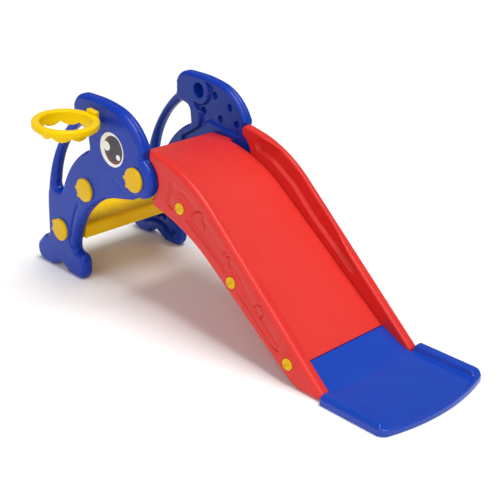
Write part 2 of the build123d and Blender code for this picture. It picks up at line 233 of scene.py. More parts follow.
def circle(centre, radius, count=64):
    turn = np.linspace(0, 2 * pi, count, endpoint=False)
    return np.asarray(centre) + radius * np.stack([np.cos(turn), np.sin(turn)], 1)


def plate(name, loops, top, bottom, edge, place, fine=1.6, extra=(), inlays=(), seam=(), bend=0.02):
    """A closed mesh over an outline.

    edge gives the radius of the rounded edge at each border point, top and bottom the two faces' heights
    from (points, distance inward, nearest border index, border), and place turns (u, v, height) into
    x, y, z.
    The points are dense only where a face curves. extra are more points, inlays closed lines that the
    faces keep to, and seam lists rows of the side wall as (share of the wall's height, inset).
    """
    border = Border(loops)
    rim = border.points
    border.radius = edge(border)
    inner = []
    for angle in RING_ANGLES:
        inset = border.radius * (1 - cos(angle))
        ring = rim + border.inward * inset[:, None]
        depth, _ = border.nearest(ring)
        inner.append(ring[np.abs(depth - inset) < 0.12 * inset + 0.02])
    lines = []
    for loop in inlays:
        start = len(rim) + sum(len(points) for points in inner)
        lines += [(start + k, start + (k + 1) % len(loop)) for k in range(len(loop))]
        inner.append(loop)
    inner += [np.array(points, float) for points in extra]
    inner = np.vstack(inner)

    low, high = rim.min(0), rim.max(0)
    nu, nv = (int((b - a) / fine) + 2 for a, b in zip(low, high))
    at_u, at_v = low[0] + fine * np.arange(nu), low[1] + fine * np.arange(nv)
    grid = np.stack(np.meshgrid(at_u, at_v, indexing="ij"), -1)
    cells = grid.reshape(-1, 2)
    depth, index = border.nearest(cells)
    turns = np.zeros((nu, nv))
    for face in (top, bottom):
        height = face(cells, depth, index, border).reshape(nu, nv)
        for axis in (0, 1):
            turn = np.abs(np.roll(height, 1, axis) + np.roll(height, -1, axis) - 2 * height)
            turns = np.maximum(turns, turn)
    dense, middling = widened(turns > bend, 1), widened(turns > bend, 4)
    i, j = np.meshgrid(np.arange(nu), np.arange(nv), indexing="ij")
    keep = dense | (middling & (i % 2 == 0) & (j % 2 == 0)) | ((i % 4 == 0) & (j % 4 == 0))
    cells = cells[keep.reshape(-1) & (depth > 0.5 * fine)]
    cells = cells[nearest_in(tree_of(np.vstack([rim, inner])), cells, want=2) > 0.55 * fine]

    flat = np.vstack([rim, inner, cells])
    sides = [(int(a), int(b)) for a, b in enumerate(border.next)]
    made, _, triangles, origin, _, _ = delaunay_2d_cdt(
        [Vector(p) for p in flat.tolist()], sides + lines, [], 0, CLOSE_POINTS, True
    )
    made = np.array([tuple(v) for v in made])
    triangles = np.array(triangles)
    rim_index = np.full(len(made), -1)
    for k, sources in enumerate(origin):
        for at in sources:
            if at < len(rim):
                rim_index[k] = at
    # Triangles with a border side are inside if they run it the border's way. A middle tells the others.
    begin, end = rim_index[triangles], rim_index[np.roll(triangles, -1, axis=1)]
    on_rim = (begin >= 0) & (end >= 0)
    along = (on_rim & (border.next[begin] == end)).any(1)
    against = (on_rim & (border.next[end] == begin)).any(1)
    middle, _ = border.nearest(made[triangles].mean(1))
    triangles = triangles[along | ((middle > SLIVER) & ~against)]
    used = np.unique(triangles)
    renumber = np.full(len(made), -1)
    renumber[used] = np.arange(len(used))
    triangles = renumber[triangles]
    made, rim_index = made[used], rim_index[used]
    depth, index = border.nearest(made)
    rim_of = np.full(len(rim), -1)
    rim_of[rim_index[rim_index >= 0]] = np.flatnonzero(rim_index >= 0)
    depth[rim_of], index[rim_of] = 0, np.arange(len(rim))
    above, below = (face(made, depth, index, border) for face in (top, bottom))

    count = len(made)
    rows = [rim_of]
    points = [np.c_[made, above], np.c_[made, below]]
    for share, inset in seam:
        wall = above[rim_of] + (below[rim_of] - above[rim_of]) * share
        room = np.clip(np.abs(above - below)[rim_of] / 8.0, 0, 1) * (border.loop == 0)
        at = rim + border.inward * (inset * room)[:, None]
        rows.append(2 * count + len(rim) * (len(rows) - 1) + np.arange(len(rim)))
        points.append(np.c_[at, wall])
    rows.append(rim_of + count)
    faces = triangles.tolist() + (triangles[:, ::-1] + count).tolist()
    for upper, lower in zip(rows, rows[1:]):
        faces += np.stack([upper, lower, lower[border.next], upper[border.next]], 1).tolist()
    points = np.vstack(points)
    return mesh_piece(name, np.stack(place(*points.T), 1), faces)


def widened(mask, cells):
    """A mask over a grid with that many more cells set all round."""
    for _ in range(cells):
        shifted = [np.roll(mask, step, axis) for step in (1, -1) for axis in (0, 1)]
        mask = np.logical_or.reduce([mask, *shifted])
    return mask


def added(name, data):
    """A new object in the scene."""
    thing = bpy.data.objects.new(name, data)
    bpy.context.scene.collection.objects.link(thing)
    return thing


def mesh_piece(name, points, faces, sharp=50.0):
    """A smooth-shaded object from points in millimetres, its faces turned outward."""
    mesh = bpy.data.meshes.new(name)
    mesh.from_pydata((np.asarray(points) * MM).tolist(), [], faces)
    solid = bmesh.new()
    solid.from_mesh(mesh)
    bmesh.ops.recalc_face_normals(solid, faces=solid.faces)
    solid.to_mesh(mesh)
    solid.free()
    mesh.shade_smooth()
    mesh.set_sharp_from_angle(angle=radians(sharp))
    return added(name, mesh)


def mirrored(piece, name):
    """The same piece on the other side of the middle plane, with its own mesh."""
    mesh = piece.data.copy()
    mesh.transform(Matrix.Scale(-1, 4, (0, 1, 0)))
    mesh.flip_normals()
    return added(name, mesh)


def finish_piece(piece, body, slot, material, *nodes):
    piece.data.materials.append(material)
    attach(piece, body)
    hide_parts(*nodes)


def upright(side):
    """Places an outline in XZ whose heights are distances from the middle plane, on the -Y or +Y side."""
    return lambda x, z, height: (x, side * height, z)


# ---- materials
SHADE_SIZE, GLOSS_SIZE, RIPPLE_SIZE = 70, 30, 38
GRAIN_HEIGHT, RIPPLE_HEIGHT = 0.12, 0.8


def put(node, values):
    """Sets sockets of a shader node by name."""
    for name, value in values.items():
        node.inputs[name].default_value = value


def plastic(name, colour, shade, roughness, grain=0.1, grain_size=1.4, ripple=0.25, worn=0.12,
            gloss_tint=(1, 1, 1), gloss=0.35):
    """Moulded plastic: faint clouds of a second shade, paler edges, a fine grain and a slow ripple."""
    material = bpy.data.materials.new(name)
    material.use_nodes = True
    nodes, links = material.node_tree.nodes, material.node_tree.links
    surface = nodes["Principled BSDF"]
    put(surface, {"IOR": 1.5, "Specular IOR Level": gloss, "Specular Tint": (*gloss_tint, 1)})
    place = nodes.new("ShaderNodeTexCoord")

    def noise(size_mm, detail):
        node = nodes.new("ShaderNodeTexNoise")
        put(node, {"Scale": 1 / (size_mm * MM), "Detail": detail})
        links.new(place.outputs["Object"], node.inputs["Vector"])
        return node.outputs["Fac"]

    def ramp(value, low, high):
        node = nodes.new("ShaderNodeMapRange")
        put(node, {"From Min": 0.3, "From Max": 0.7, "To Min": low, "To Max": high})
        links.new(value, node.inputs["Value"])
        return node.outputs["Result"]

    def mixed(share, first, second):
        node = nodes.new("ShaderNodeMix")
        node.data_type = "RGBA"
        links.new(share, node.inputs["Factor"])
        for socket, value in ((node.inputs["A"], first), (node.inputs["B"], second)):
            if isinstance(value, tuple):
                socket.default_value = (*value, 1)
            else:
                links.new(value, socket)
        return node.outputs["Result"]

    tone = mixed(ramp(noise(SHADE_SIZE, 3), 0, 1), colour, shade)
    edges = nodes.new("ShaderNodeMapRange")
    put(edges, {"From Min": 0.52, "From Max": 0.62, "To Max": worn})
    links.new(nodes.new("ShaderNodeNewGeometry").outputs["Pointiness"], edges.inputs["Value"])
    pale = tuple(min(1, c + 0.25 * (1 - c)) for c in colour)
    links.new(mixed(edges.outputs["Result"], tone, pale), surface.inputs["Base Color"])
    gleam = ramp(noise(GLOSS_SIZE, 2), roughness - 0.02, roughness + 0.03)
    links.new(gleam, surface.inputs["Roughness"])

    normal = None
    for size_mm, height_mm, strength in ((grain_size, GRAIN_HEIGHT, grain),
                                         (RIPPLE_SIZE, RIPPLE_HEIGHT, ripple)):
        bump = nodes.new("ShaderNodeBump")
        put(bump, {"Strength": strength, "Distance": height_mm * MM})
        links.new(noise(size_mm, 2), bump.inputs["Height"])
        if normal is not None:
            links.new(normal, bump.inputs["Normal"])
        normal = bump.outputs["Normal"]
    links.new(normal, surface.inputs["Normal"])
    return material


RED_GLOSS, YELLOW_GLOSS = (1, 0.85, 0.8), (1, 0.9, 0.25)
blue_panel = plastic("blue_panel", (0.002, 0.036, 0.38), (0.002, 0.032, 0.35), 0.28,
                     grain=0.02, ripple=0.08, gloss=0.27)
blue_tray = plastic("blue_tray", (0.004, 0.050, 0.42), (0.003, 0.045, 0.39), 0.20,
                    grain=0.02, ripple=0.08, gloss=0.42)
red_bed = plastic("red_bed", (0.69, 0.031, 0.023), (0.67, 0.028, 0.020), 0.38,
                  grain=0.06, gloss_tint=RED_GLOSS)
red_rail = plastic("red_rail", (0.69, 0.026, 0.021), (0.65, 0.022, 0.018), 0.34,
                   grain=0.06, gloss_tint=RED_GLOSS)
yellow_step = plastic("yellow_step", (0.96, 0.65, 0.003), (0.92, 0.59, 0.002), 0.40,
                      gloss_tint=YELLOW_GLOSS)
yellow_hoop = plastic("yellow_hoop", (0.87, 0.58, 0.0), (0.85, 0.55, 0.0), 0.30,
                      grain=0.05, gloss_tint=YELLOW_GLOSS)
yellow_knob = plastic("yellow_knob", (0.78, 0.47, 0.002), (0.71, 0.42, 0.001), 0.34,
                      grain=0.35, grain_size=3.0, gloss_tint=YELLOW_GLOSS)
white_print = plastic("white_print", (0.86, 0.86, 0.84), (0.84, 0.84, 0.83), 0.34, ripple=0.1, worn=0)
brown_print = plastic("brown_print", (0.16, 0.045, 0.040), (0.12, 0.035, 0.032), 0.34, ripple=0.1, worn=0)
dark_print = plastic("dark_print", (0.045, 0.045, 0.047), (0.035, 0.035, 0.037), 0.34, ripple=0.1, worn=0)

# ---- side panels
panel_inner, panel_outer = span("plain_side_panel", Y)
PAST_CUPS = 7.5  # this far in from the outside, a section misses the dimples and the socket's cup
SOCKET_MOUTH, SOCKET_CUP, CUP_SLOPE = 22.0, 28.0, tan(radians(12))
IN_RECESS, RECESS_LARGEST = np.array([-800.0, 465.0]), 30000
RECESS_DEPTH, RECESS_BANK, RECESS_START = 10.0, 6.0, 2.5
DIMPLE_DEPTH, DIMPLE_RADIUS, DIMPLE_BANK = 11.0, 11.0, 3.5
PANEL_ROUND_OUTER, PANEL_ROUND_INNER, HANDLE_ROUND, LEG_ROUND = 13.5, 12.0, 17.0, 14.0
HANDLE_REACH, HANDLE_FADE = 27, 13
LEG_BACK, LEG_TOP, LEG_FOOT = -1036, 236, 84
CROWN_DROP, CROWN_REACH = 0.7, 18
panel_loops = section("plain_side_panel", Y, panel_outer - PAST_CUPS)
socket = np.array([-888.0, 505.0])
recess_loop = next(loop for loop in section("plain_side_panel", Y, panel_inner + 5)
                   if holds(loop, IN_RECESS) and len(loop) > 12 and abs(area(loop)) < RECESS_LARGEST)
recess = Border(bordered([recess_loop]))
dimples = np.array([(-831, 500), (-771, 478), (-878, 448), (-809, 438), (-745, 436)], float)
handle_line = curve_through([(-1124, 262), (-1115, 330), (-1086, 398), (-1040, 446), (-1000, 478)])
flipper_groove = curve_through([(-984, 244), (-1012, 203), (-1030, 159), (-1043, 112),
                                (-1036, 88), (-1004, 79)])
handle_scoop = curve_through([(-1062, 280), (-1063, 262), (-1078, 246), (-1094, 251), (-1101, 270)])
smile = curve_through([(-905, 311), (-868, 340), (-836, 350), (-800, 338), (-772, 319)])
foot_groove = curve_through([(-1158, 36), (-1130, 51), (-1099, 57), (-1069, 53), (-1048, 42), (-1034, 31),
                             (-1019, 32), (-1009, 44), (-1015, 54)])
ankle_groove = curve_through([(-1089, 75), (-1069, 84), (-1054, 84), (-1046, 73)])


def panel_edge(border, main):
    """Radius of the panel's rounded edge at each border point: the handle and the front leg are tubes."""
    x, z = border.points.T
    far, _, _ = from_curve(border.points, handle_line)
    handle = smooth((HANDLE_REACH + HANDLE_FADE - far) / HANDLE_FADE)
    leg = smooth((x - LEG_BACK) / 12) * smooth((LEG_TOP - z) / 40) * smooth((z - LEG_FOOT) / 20)
    radius = main + (HANDLE_ROUND - main) * handle
    radius = radius + (LEG_ROUND - radius) * leg * (x > LEG_BACK + 4)
    return np.where(border.loop > 1, 1.0, radius)


def ends(share, fade):
    return smooth(share / fade) * smooth((1 - share) / fade)


def groove(points, line, depth, width, fade=0.12):
    """A soft furrow along a line, shallower over that share of its length at each end."""
    far, _, share = from_curve(points, line)
    return depth * np.exp(-((far / width) ** 2)) * ends(share, fade)


def notch(points, line, depth, bank, tube, fade=0.15):
    """A step between two bodies: short bank on the line's right side, a wide rounded shoulder on its left."""
    far, side, share = from_curve(points, line)
    reach = np.where(side > 0, tube, bank)
    return rounded(far, reach) / reach * depth * ends(share, fade)


def panel_face(points, depth, index, border):
    crown = CROWN_DROP * np.exp(-np.maximum(depth, 0) / CROWN_REACH) * (border.loop[index] < 2)
    height = panel_outer - rounded(depth, panel_radius_outer[index]) - crown
    height -= notch(points, flipper_groove, depth=5.5, bank=3.5, tube=15.0)
    height -= groove(points, handle_scoop, depth=5.0, width=4.5, fade=0.2)
    height -= groove(points, smile, depth=0.8, width=5.0)
    return height


def panel_back(points, depth, index, border):
    height = panel_inner + rounded(depth, panel_radius_inner[index])
    inside, _ = recess.nearest(points)
    height += RECESS_DEPTH * smooth((inside + RECESS_START) / RECESS_BANK)
    for dimple in dimples:
        out = length(points - dimple)
        height += DIMPLE_DEPTH * smooth((DIMPLE_RADIUS - out) / DIMPLE_BANK)
    out = length(points - socket)
    height += np.clip((SOCKET_MOUTH - out) / CUP_SLOPE, 0, SOCKET_CUP)
    return height + (groove(points, foot_groove, depth=13.0, width=6.5)
                     + groove(points, ankle_groove, depth=10.0, width=5.5))


panel_border = bordered(panel_loops)
panel_radius_outer = panel_edge(Border(panel_border), PANEL_ROUND_OUTER)
panel_radius_inner = panel_edge(Border(panel_border), PANEL_ROUND_INNER)
socket_rings = [circle(socket, r) for r in (22.3, 22.0, 21.0, 19.0, 17.0, 16.1, 15.8, 13.0)]
# Rows of the side wall, as (share of its height, inset): the middle ones are the mould's parting line.
EDGE_SEAM = [(0.1, 0.0), (0.24, 0.0), (0.38, 1.6), (0.62, 1.6), (0.76, 0.0), (0.9, 0.0)]
near_panel = plate(
    "hoop_side_panel_shell", panel_border, panel_face, panel_back, lambda border: panel_radius_outer,
    upright(-1), extra=socket_rings, seam=EDGE_SEAM,
)
far_panel = mirrored(near_panel, "plain_side_panel_shell")
finish_piece(near_panel, "frame", "blue_panel", blue_panel, "hoop_side_panel")
finish_piece(far_panel, "frame", "blue_panel", blue_panel, "plain_side_panel")

# ---- side rails
rail_inner, rail_outer = 144.5, 174.5
RAIL_ROUND, RAIL_INNER_ROUND, SCREW_HOLE_ROUND = 12.0, 6.5, 0.6
FIELD_DEPTH, FIELD_BANK, FIELD_FROM_SCREW = 2.2, 14.0, 31
LINE_DEPTH, SCREW_CLEAR = 3.0, 30
BEAD_HEIGHT, BEAD_RADIUS, BEAD_HALF_WIDTH = 1.5, 21.5, 5.5  # a low ring round each screw
SLOT_DEPTH, SLOT_BANK, SLOT_START = 9.0, 9.0, 3
rail_loops = section("plain_side_rail", Y, (rail_inner + rail_outer) / 2)
rail_screws = np.array([loop.mean(0) for loop in rail_loops[1:]])
rail_field = Border([softened_loop(
    [(-612, 397), (-620, 372), (-627, 350), (-627, 335), (-612, 325), (-580, 333), (-541, 303), (-447, 236),
     (-346, 165), (-255, 92), (-241, 83), (-229, 88), (-232, 104), (-330, 196), (-430, 290), (-520, 364),
     (-560, 385)])])
rail_slot = Border([softened_loop(
    [(-640, 428), (-606, 427), (-573, 420), (-545, 411), (-512, 392), (-435, 325), (-360, 255), (-281, 168),
     (-282, 156), (-291, 153), (-358, 205), (-433, 262), (-510, 333), (-588, 382), (-640, 395),
     (-650, 410)])])
rail_line = curve_through([(-615, 398), (-619, 371), (-626, 346), (-630, 334), (-612, 325), (-580, 318),
                           (-548, 303), (-507, 277), (-447, 238), (-418, 215), (-379, 180), (-332, 143),
                           (-264, 87), (-243, 78), (-229, 83)])
cloud = curve_through([(-540, 324), (-533, 336), (-515, 344), (-503, 343), (-499, 334), (-502, 323),
                       (-493, 314), (-495, 301)])
star = curve_through([(-431, 260), (-420, 269), (-416, 259), (-402, 261), (-409, 247), (-404, 238)])
ball = curve_through([(-322, 160), (-311, 171), (-297, 172), (-289, 161), (-293, 147), (-304, 137)])


def rail_edge(border):
    return np.where(border.loop > 0, SCREW_HOLE_ROUND, RAIL_ROUND)


def rail_face(points, depth, index, border):
    height = rail_outer - rounded(depth, border.radius[index])
    near_screw = np.min([length(points - s) for s in rail_screws], axis=0)
    field, _ = rail_field.nearest(points)
    field = np.minimum(field, near_screw - FIELD_FROM_SCREW)
    height -= FIELD_DEPTH * smooth(field / FIELD_BANK)
    off_screws = np.where(near_screw[:, None] > SCREW_CLEAR, points, FAR_AWAY)
    height -= groove(off_screws, rail_line, LINE_DEPTH, width=2.1, fade=0.02)
    for line in (cloud, star, ball):
        height -= groove(points, line, LINE_DEPTH, width=2.0, fade=0.06)
    across = (near_screw - BEAD_RADIUS) / BEAD_HALF_WIDTH
    height += BEAD_HEIGHT * np.sqrt(np.clip(1 - across**2, 0, 1))
    return height


def rail_back(points, depth, index, border):
    radius = np.where(border.loop[index] > 0, SCREW_HOLE_ROUND, RAIL_INNER_ROUND)
    inside, _ = rail_slot.nearest(points)
    return rail_inner + rounded(depth, radius) + SLOT_DEPTH * smooth((inside + SLOT_START) / SLOT_BANK)


near_rail = plate("hoop_side_rail_shell", bordered(rail_loops), rail_face, rail_back, rail_edge,
                  upright(-1), fine=1.3)
far_rail = mirrored(near_rail, "plain_side_rail_shell")
finish_piece(near_rail, "frame", "red_rail", red_rail, "hoop_side_rail")
finish_piece(far_rail, "frame", "red_rail", red_rail, "plain_side_rail")

# ---- slide bed
# A plate along a bent path: u runs down the top surface, v across, and heights go out of the surface.
BED_BEND_RADIUS = 400.0
BED_ROUND, BED_BACK_ROUND, BED_FOOT_ROUND = 3.5, 7.0, 1.5
CHANNEL_DEPTH, CHANNEL_HALF_WIDTH, CHANNEL_BANK = 7.0, 30, 9.0
CHANNEL_START, CHANNEL_STOP = 150, 95  # from the deck's back end, and short of the chute's foot
bed_back = span("slide_bed", X)[0]
bed_loop = wound(section("slide_bed", Y, 0.5)[0], True)
bed_loop = np.roll(bed_loop, -int(np.argmax(bed_loop[:, 0])), axis=0)  # it starts at the chute's foot
bed_foot, chute_point, bed_foot_under = bed_loop[0], bed_loop[1], bed_loop[-1]
bed_top_z = bed_loop[:, 1].max()
chute_fall = (chute_point[1] - bed_foot[1]) / (bed_foot[0] - chute_point[0])
bed_bend = bed_foot[0] - (bed_top_z - bed_foot[1]) / chute_fall
back_corner = int(np.argmin(bed_loop[:, 0]))
under = bed_loop[back_corner:]
under = under[(under[:, 0] > bed_back + 9) & (under[:, 1] < bed_top_z - 20)]
under = np.vstack([[bed_back, under[0, 1]], under])


def bed_line(step=2.0):
    """The bed's top line: level, an arc, then straight down the chute, at even steps."""
    turn = atan(chute_fall)
    reach = BED_BEND_RADIUS * tan(turn / 2)
    level = bed_bend - reach - bed_back
    slope = hypot(bed_foot[0] - bed_bend, bed_top_z - bed_foot[1]) - reach
    total = level + BED_BEND_RADIUS * turn + slope
    run = np.linspace(0, total, int(total / step))
    angle = np.clip((run - level) / BED_BEND_RADIUS, 0, turn)
    past = np.maximum(run - level - BED_BEND_RADIUS * turn, 0)
    x = bed_back + np.minimum(run, level) + BED_BEND_RADIUS * np.sin(angle) + past * cos(turn)
    z = bed_top_z - BED_BEND_RADIUS * (1 - np.cos(angle)) - past * sin(turn)
    return run, np.stack([x, z], 1)


upper_run, upper = bed_line()


def on_bed(u):
    """Point on the bed's top line and the direction out of it, for each distance along."""
    point = np.stack([np.interp(u, upper_run, upper[:, k]) for k in (0, 1)], 1)
    ahead = np.stack([np.interp(u + 6, upper_run, upper[:, k]) for k in (0, 1)], 1)
    behind = np.stack([np.interp(u - 6, upper_run, upper[:, k]) for k in (0, 1)], 1)
    along = ahead - behind
    along = along / length(along)[:, None]
    return point, np.stack([-along[:, 1], along[:, 0]], 1)


def bed_depth_at(u):
    """How thick the bed is, straight in from its top line."""
    point, out = on_bed(np.array([u]))
    point, out = point[0], out[0]
    best = FAR_AWAY
    for a, b in zip(under, under[1:]):
        m = np.array([-out, a - b]).T
        if abs(np.linalg.det(m)) > 1e-9:
            deep, t = np.linalg.solve(m, a - point)
            if -1e-6 <= t <= 1 + 1e-6 and 5 < deep < best:
                best = deep
    return best


bed_length = upper_run[-1]
depth_at = np.linspace(0, bed_length, 80)
depth_of = np.array([bed_depth_at(min(u, bed_length - 0.5)) for u in depth_at])
found = depth_of < FAR_AWAY
depth_of = np.where(found, depth_of, np.interp(depth_at, depth_at[found], depth_of[found]))
chute_half, deck_half = 144.0, 156.5
deck_wide = 83.0
bed_outline = np.array([(0, -deck_half), (deck_wide, -deck_half), (deck_wide, -chute_half),
                        (bed_length, -chute_half), (bed_length, chute_half), (deck_wide, chute_half),
                        (deck_wide, deck_half), (0, deck_half)])


def bed_edge(border):
    along = border.points[:, 0]
    radius = np.where(along < 1, BED_BACK_ROUND, BED_ROUND)
    return np.where(along > bed_length - 1, BED_FOOT_ROUND, radius)


def hollows(points, middles, half, along, bank, deep):
    """A row of hollows across a piece's underside, that far inward (along) of their ends."""
    insides = [np.minimum(half - np.abs(points[:, 1] - middle), along) for middle in middles]
    return sum(deep * smooth(inside / bank) for inside in insides)


def bed_top(points, depth, index, border):
    return -rounded(depth, border.radius[index])


def bed_under(points, depth, index, border):
    thick = np.interp(points[:, 0], depth_at, depth_of)
    height = -thick + rounded(depth, border.radius[index])
    along = np.minimum(points[:, 0] - CHANNEL_START, bed_length - CHANNEL_STOP - points[:, 0])
    return height + hollows(points, (-92, 0, 92), CHANNEL_HALF_WIDTH, along, CHANNEL_BANK, CHANNEL_DEPTH)


def bent(u, v, height):
    point, out = on_bed(u)
    return point[:, 0] + out[:, 0] * height, v, point[:, 1] + out[:, 1] * height


bed = plate("slide_bed_shell", bordered([bed_outline]), bed_top, bed_under, bed_edge, bent, fine=2.0,
            seam=[(0.25, 0), (0.5, 0), (0.75, 0)])
finish_piece(bed, "frame", "red_bed", red_bed, "slide_bed")

# ---- exit tray
# A plate on the floor: side walls, a low front lip, and a back that rises to the chute's end, drops past
# it and goes on as a tongue under the bed.
TRAY_WIDE_BACK, TRAY_FLOOR, TRAY_LIP, TRAY_WALL = -95.0, 13.0, 18.0, 28.0
TRAY_ROUND, TRAY_BACK_ROUND, TRAY_WALL_END_ROUND = 3.5, 0.4, 6.0
TRAY_SLOPE_END, TRAY_SLOPE_SHARE = -82.0, 0.55  # the slope's curved foot is that share of its length
TRAY_WALL_FRONT, TRAY_WALL_TAPER, TRAY_LIP_START = 86, 15, 30
# Heights by the distance in from the side, and by the distance in from the front edge.
WALL_PROFILE = ([0, 7, 27, 34], [18, TRAY_WALL + 0.4, TRAY_WALL + 0.4, TRAY_FLOOR])
LIP_PROFILE = ([0, 2, 7, 12], [16, TRAY_LIP, TRAY_LIP, TRAY_FLOOR])
WALL_GROOVE_AT, WALL_GROOVE_DEPTH, WALL_GROOVE_WIDTH = 24, 1.6, 1.8
UNDER_HOLLOW = 3.0
JOINT_DROP, JOINT_WIDTH = 2.6, 2.8  # a small step down to the bed's end
TONGUE_GAP, TONGUE_THICKNESS = 0.4, 8.0
tray_back_end = span("exit_tray", X)[0]
tray_side = span("exit_tray", Y)[1]
tray_plan = section("exit_tray", Z, TRAY_FLOOR / 2)[0]
tray_plan[:, 0] = np.where(tray_plan[:, 0] < tray_plan[:, 0].min() + 3, tray_back_end, tray_plan[:, 0])
tray_top_z, tray_top_back = bed_foot[1] - 0.3, bed_foot[0] + 0.6
tray_slope_length = TRAY_SLOPE_END - bed_foot[0]
tray_slope_arc = TRAY_SLOPE_SHARE * tray_slope_length
tray_slope_rise = (tray_top_z - TRAY_FLOOR) / (tray_slope_length - tray_slope_arc / 2)
chute_turn = atan(chute_fall)
tongue_tip_top = tray_back_end + TONGUE_THICKNESS * sin(chute_turn)
tongue_root = bed_foot_under + TONGUE_GAP * np.array([-sin(chute_turn), -cos(chute_turn)])
tongue_tip_z = tongue_root[1] + (tongue_root[0] - tongue_tip_top) * chute_fall
tongue_tip_under_z = tongue_tip_z - TONGUE_THICKNESS * cos(chute_turn)
tongue_meets_floor = tray_back_end + tongue_tip_under_z / chute_fall


def softened(profile, at, reach):
    """Heights from a profile, given as (distances, heights), with its corners rounded off."""
    return np.mean([np.interp(at + shift, *profile) for shift in np.linspace(-reach, reach, 7)], axis=0)


def tray_edge(border):
    return np.where(border.points[:, 0] < TRAY_WIDE_BACK + 1, TRAY_BACK_ROUND, TRAY_ROUND)


def tray_top(points, depth, index, border):
    x, y = points.T
    back = np.interp(x, [tray_back_end, tongue_tip_top, tongue_root[0] + 0.5, tray_top_back],
                     [tongue_tip_under_z + 0.4, tongue_tip_z, tongue_root[1], tray_top_z])
    past = np.maximum(TRAY_SLOPE_END - x, 0)
    in_arc = past < tray_slope_arc
    rise = np.where(in_arc, past**2 / (2 * tray_slope_arc), past - tray_slope_arc / 2)
    slope = TRAY_FLOOR + tray_slope_rise * rise
    slope = np.minimum(slope, tray_top_z - JOINT_DROP * smooth((bed_foot[0] + 3.6 - x) / JOINT_WIDTH))
    from_side = tray_side - np.abs(y)
    wall = softened(WALL_PROFILE, from_side, 1.3)
    wall -= WALL_GROOVE_DEPTH * np.exp(-(((from_side - WALL_GROOVE_AT) / WALL_GROOVE_WIDTH) ** 2))
    taper = smooth((TRAY_WALL_FRONT - x) / TRAY_WALL_TAPER)
    wall = np.minimum(wall, TRAY_LIP + (TRAY_WALL - TRAY_LIP) * taper)
    wall -= rounded(x - TRAY_WIDE_BACK, TRAY_WALL_END_ROUND)
    lip = np.where(x > TRAY_LIP_START, softened(LIP_PROFILE, depth, 1.5), TRAY_FLOOR)
    front = np.maximum(np.maximum(np.where(x > TRAY_WIDE_BACK - 0.5, wall, TRAY_FLOOR), lip), slope)
    height = np.where(x < tray_top_back, back, front)
    return height - rounded(depth, border.radius[index])


def tray_under(points, depth, index, border):
    x = points[:, 0]
    height = np.maximum(0, (tongue_meets_floor - x) * chute_fall)
    height = np.minimum(height, np.interp(x, [tray_back_end, tongue_tip_top], [tongue_tip_under_z, 1e3]))
    hollow = UNDER_HOLLOW * smooth((depth - 24) / 6) * smooth((x + 80) / 10)
    return height + hollow + rounded(depth, border.radius[index])


def lying(x, y, height):
    """Places an outline in XY whose heights are heights."""
    return x, y, height


tray_turns = [bed_foot[0] + past for past in (0.55, 0.65, 2.0, 3.6)]
tray_turns += [tongue_root[0] + 0.5, tongue_tip_top, tongue_meets_floor]
tray = plate("exit_tray_shell", bordered([tray_plan]), tray_top, tray_under, tray_edge, lying,
             extra=[np.c_[np.full(145, at), np.linspace(-143, 143, 145)] for at in tray_turns])
finish_piece(tray, "frame", "blue_tray", blue_tray, "exit_tray")

# ---- steps
SOCKET_RADIUS, SOCKET_DEPTH = 11.06, 33.0
STEP_ROUND, STEP_END_ROUND = 9.0, 0.8
TREAD_FROM_EDGE, TREAD_BANK, TREAD_DEPTH = 10, 4, 2.0
HOLLOW_HALF_LENGTH, HOLLOW_HALF_WIDTH, HOLLOW_DEPTH = 36, 46, 8.0
# Rows of a step's side wall, as (share of its height, inset), with a fine line low down.
STEP_SEAM = [(0.3, 0), (0.7, 0), (0.76, 0.9), (0.82, 0), (0.9, 0)]
knob_at = {joint["child"]: np.array(joint["pos_m"]) / MM for joint in frame["joints"]}


def rod(name, start, end, radius, count=48):
    """A plain cylinder along Y, for cutting a socket."""
    loop = circle((start[0], start[2]), radius, count)
    ends = [np.c_[loop[:, 0], np.full(count, y), loop[:, 1]] for y in (start[1], end)]
    faces = [list(range(count)), list(range(count, 2 * count))[::-1]]
    faces += [[k, (k + 1) % count, count + (k + 1) % count, count + k] for k in range(count)]
    return mesh_piece(name, np.vstack(ends), faces)


def combine(piece, other, how):
    """Applies a boolean to piece and removes the other object."""
    change = piece.modifiers.new("combine", "BOOLEAN")
    change.operation, change.object, change.solver = how, other, "EXACT"
    bpy.context.view_layer.update()
    result = bpy.data.meshes.new_from_object(piece.evaluated_get(bpy.context.evaluated_depsgraph_get()))
    piece.modifiers.clear()
    piece.data = result
    bpy.data.objects.remove(other)
    result.set_sharp_from_angle(angle=radians(50))


def pebbles(points, pitch=10.5, size=5.6, height=2.0):
    """Low round bumps on a staggered lattice, each a little off its place and of its own size."""
    row = np.round(points[:, 1] / pitch)
    bump = np.zeros(len(points))
    for down in (-1, 0, 1):
        line = row + down
        shift = np.where(line % 2 == 0, 0, 0.5)
        column = np.round(points[:, 0] / pitch - shift)
        for across in (-1, 0, 1):
            spot = column + across
            jitter = np.sin(spot * 12.9898 + line * 78.233) * 43758.5453  # a hash of the spot's place
            jitter = jitter - np.floor(jitter)
            other = (jitter * 7.31) % 1
            x = (spot + shift + 0.35 * (jitter - 0.5)) * pitch
            y = (line + 0.35 * (other - 0.5)) * pitch
            far = np.hypot((points[:, 0] - x) * (1.0 + 0.5 * (other - 0.5)), points[:, 1] - y)
            bump = np.maximum(bump, smooth((size * (0.75 + 0.4 * jitter) - far) / 3.0))
    return height * bump


